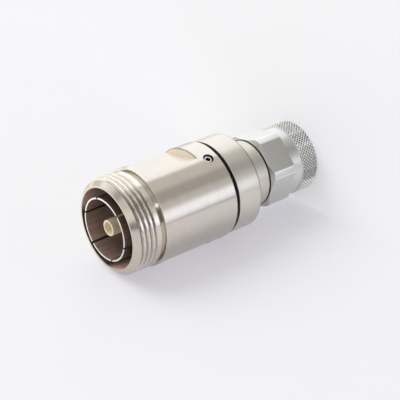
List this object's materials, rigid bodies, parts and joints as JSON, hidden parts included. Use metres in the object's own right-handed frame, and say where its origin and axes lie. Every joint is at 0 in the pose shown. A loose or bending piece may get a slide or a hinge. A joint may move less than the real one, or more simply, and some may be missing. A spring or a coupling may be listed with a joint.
{
  "type": "coaxial adapter",
  "caption": "Turned metal coaxial adapter: a large threaded line end with slotted spring fingers and a gold centre contact, joined to a plug with a turning hex and knurled coupling nut.",
  "frame": {"origin": "centre of the coupling nut's front face, which the adapter stands on", "axes": "+Z along the adapter's axis, from the coupling nut to the threaded mouth; +X out of one wrench flat"},
  "size_m": [0.028, 0.028, 0.068],
  "materials": {
    "barrel_plate": "bright nickel plate over brass, lightly satin, warm tone",
    "body_plate": "satin nickel plate over brass",
    "nut_plate": "bright nickel plate over brass, cool tone",
    "contact_plate": "bright plate over spring bronze",
    "gold_plate": "pale gold plate",
    "screw_steel": "plain steel",
    "bead_plastic": "white insulating plastic",
    "seal_rubber": "matt black rubber",
    "gasket_rubber": "red-brown silicone rubber"
  },
  "bodies": {
    "adapter": {"barrel": "barrel_plate", "set_screws": "screw_steel", "outer_contact": "contact_plate", "centre_contact": "gold_plate", "front_bead": "bead_plastic", "centre_conductor": "gold_plate", "transition_sleeve": "contact_plate", "seal_ring": "seal_rubber", "rear_body": "body_plate", "rear_bead": "bead_plastic", "centre_pin": "gold_plate", "plug_contact": "contact_plate", "gasket": "gasket_rubber", "retaining_ring": "screw_steel"},
    "nut": {"coupling_nut": "nut_plate"}
  },
  "joints": [
    {"name": "nut_spin", "type": "hinge", "parent": "adapter", "child": "nut", "pos_m": [0, 0, 0.0088], "axis": [0, 0, 1], "continuous": true}
  ]
}
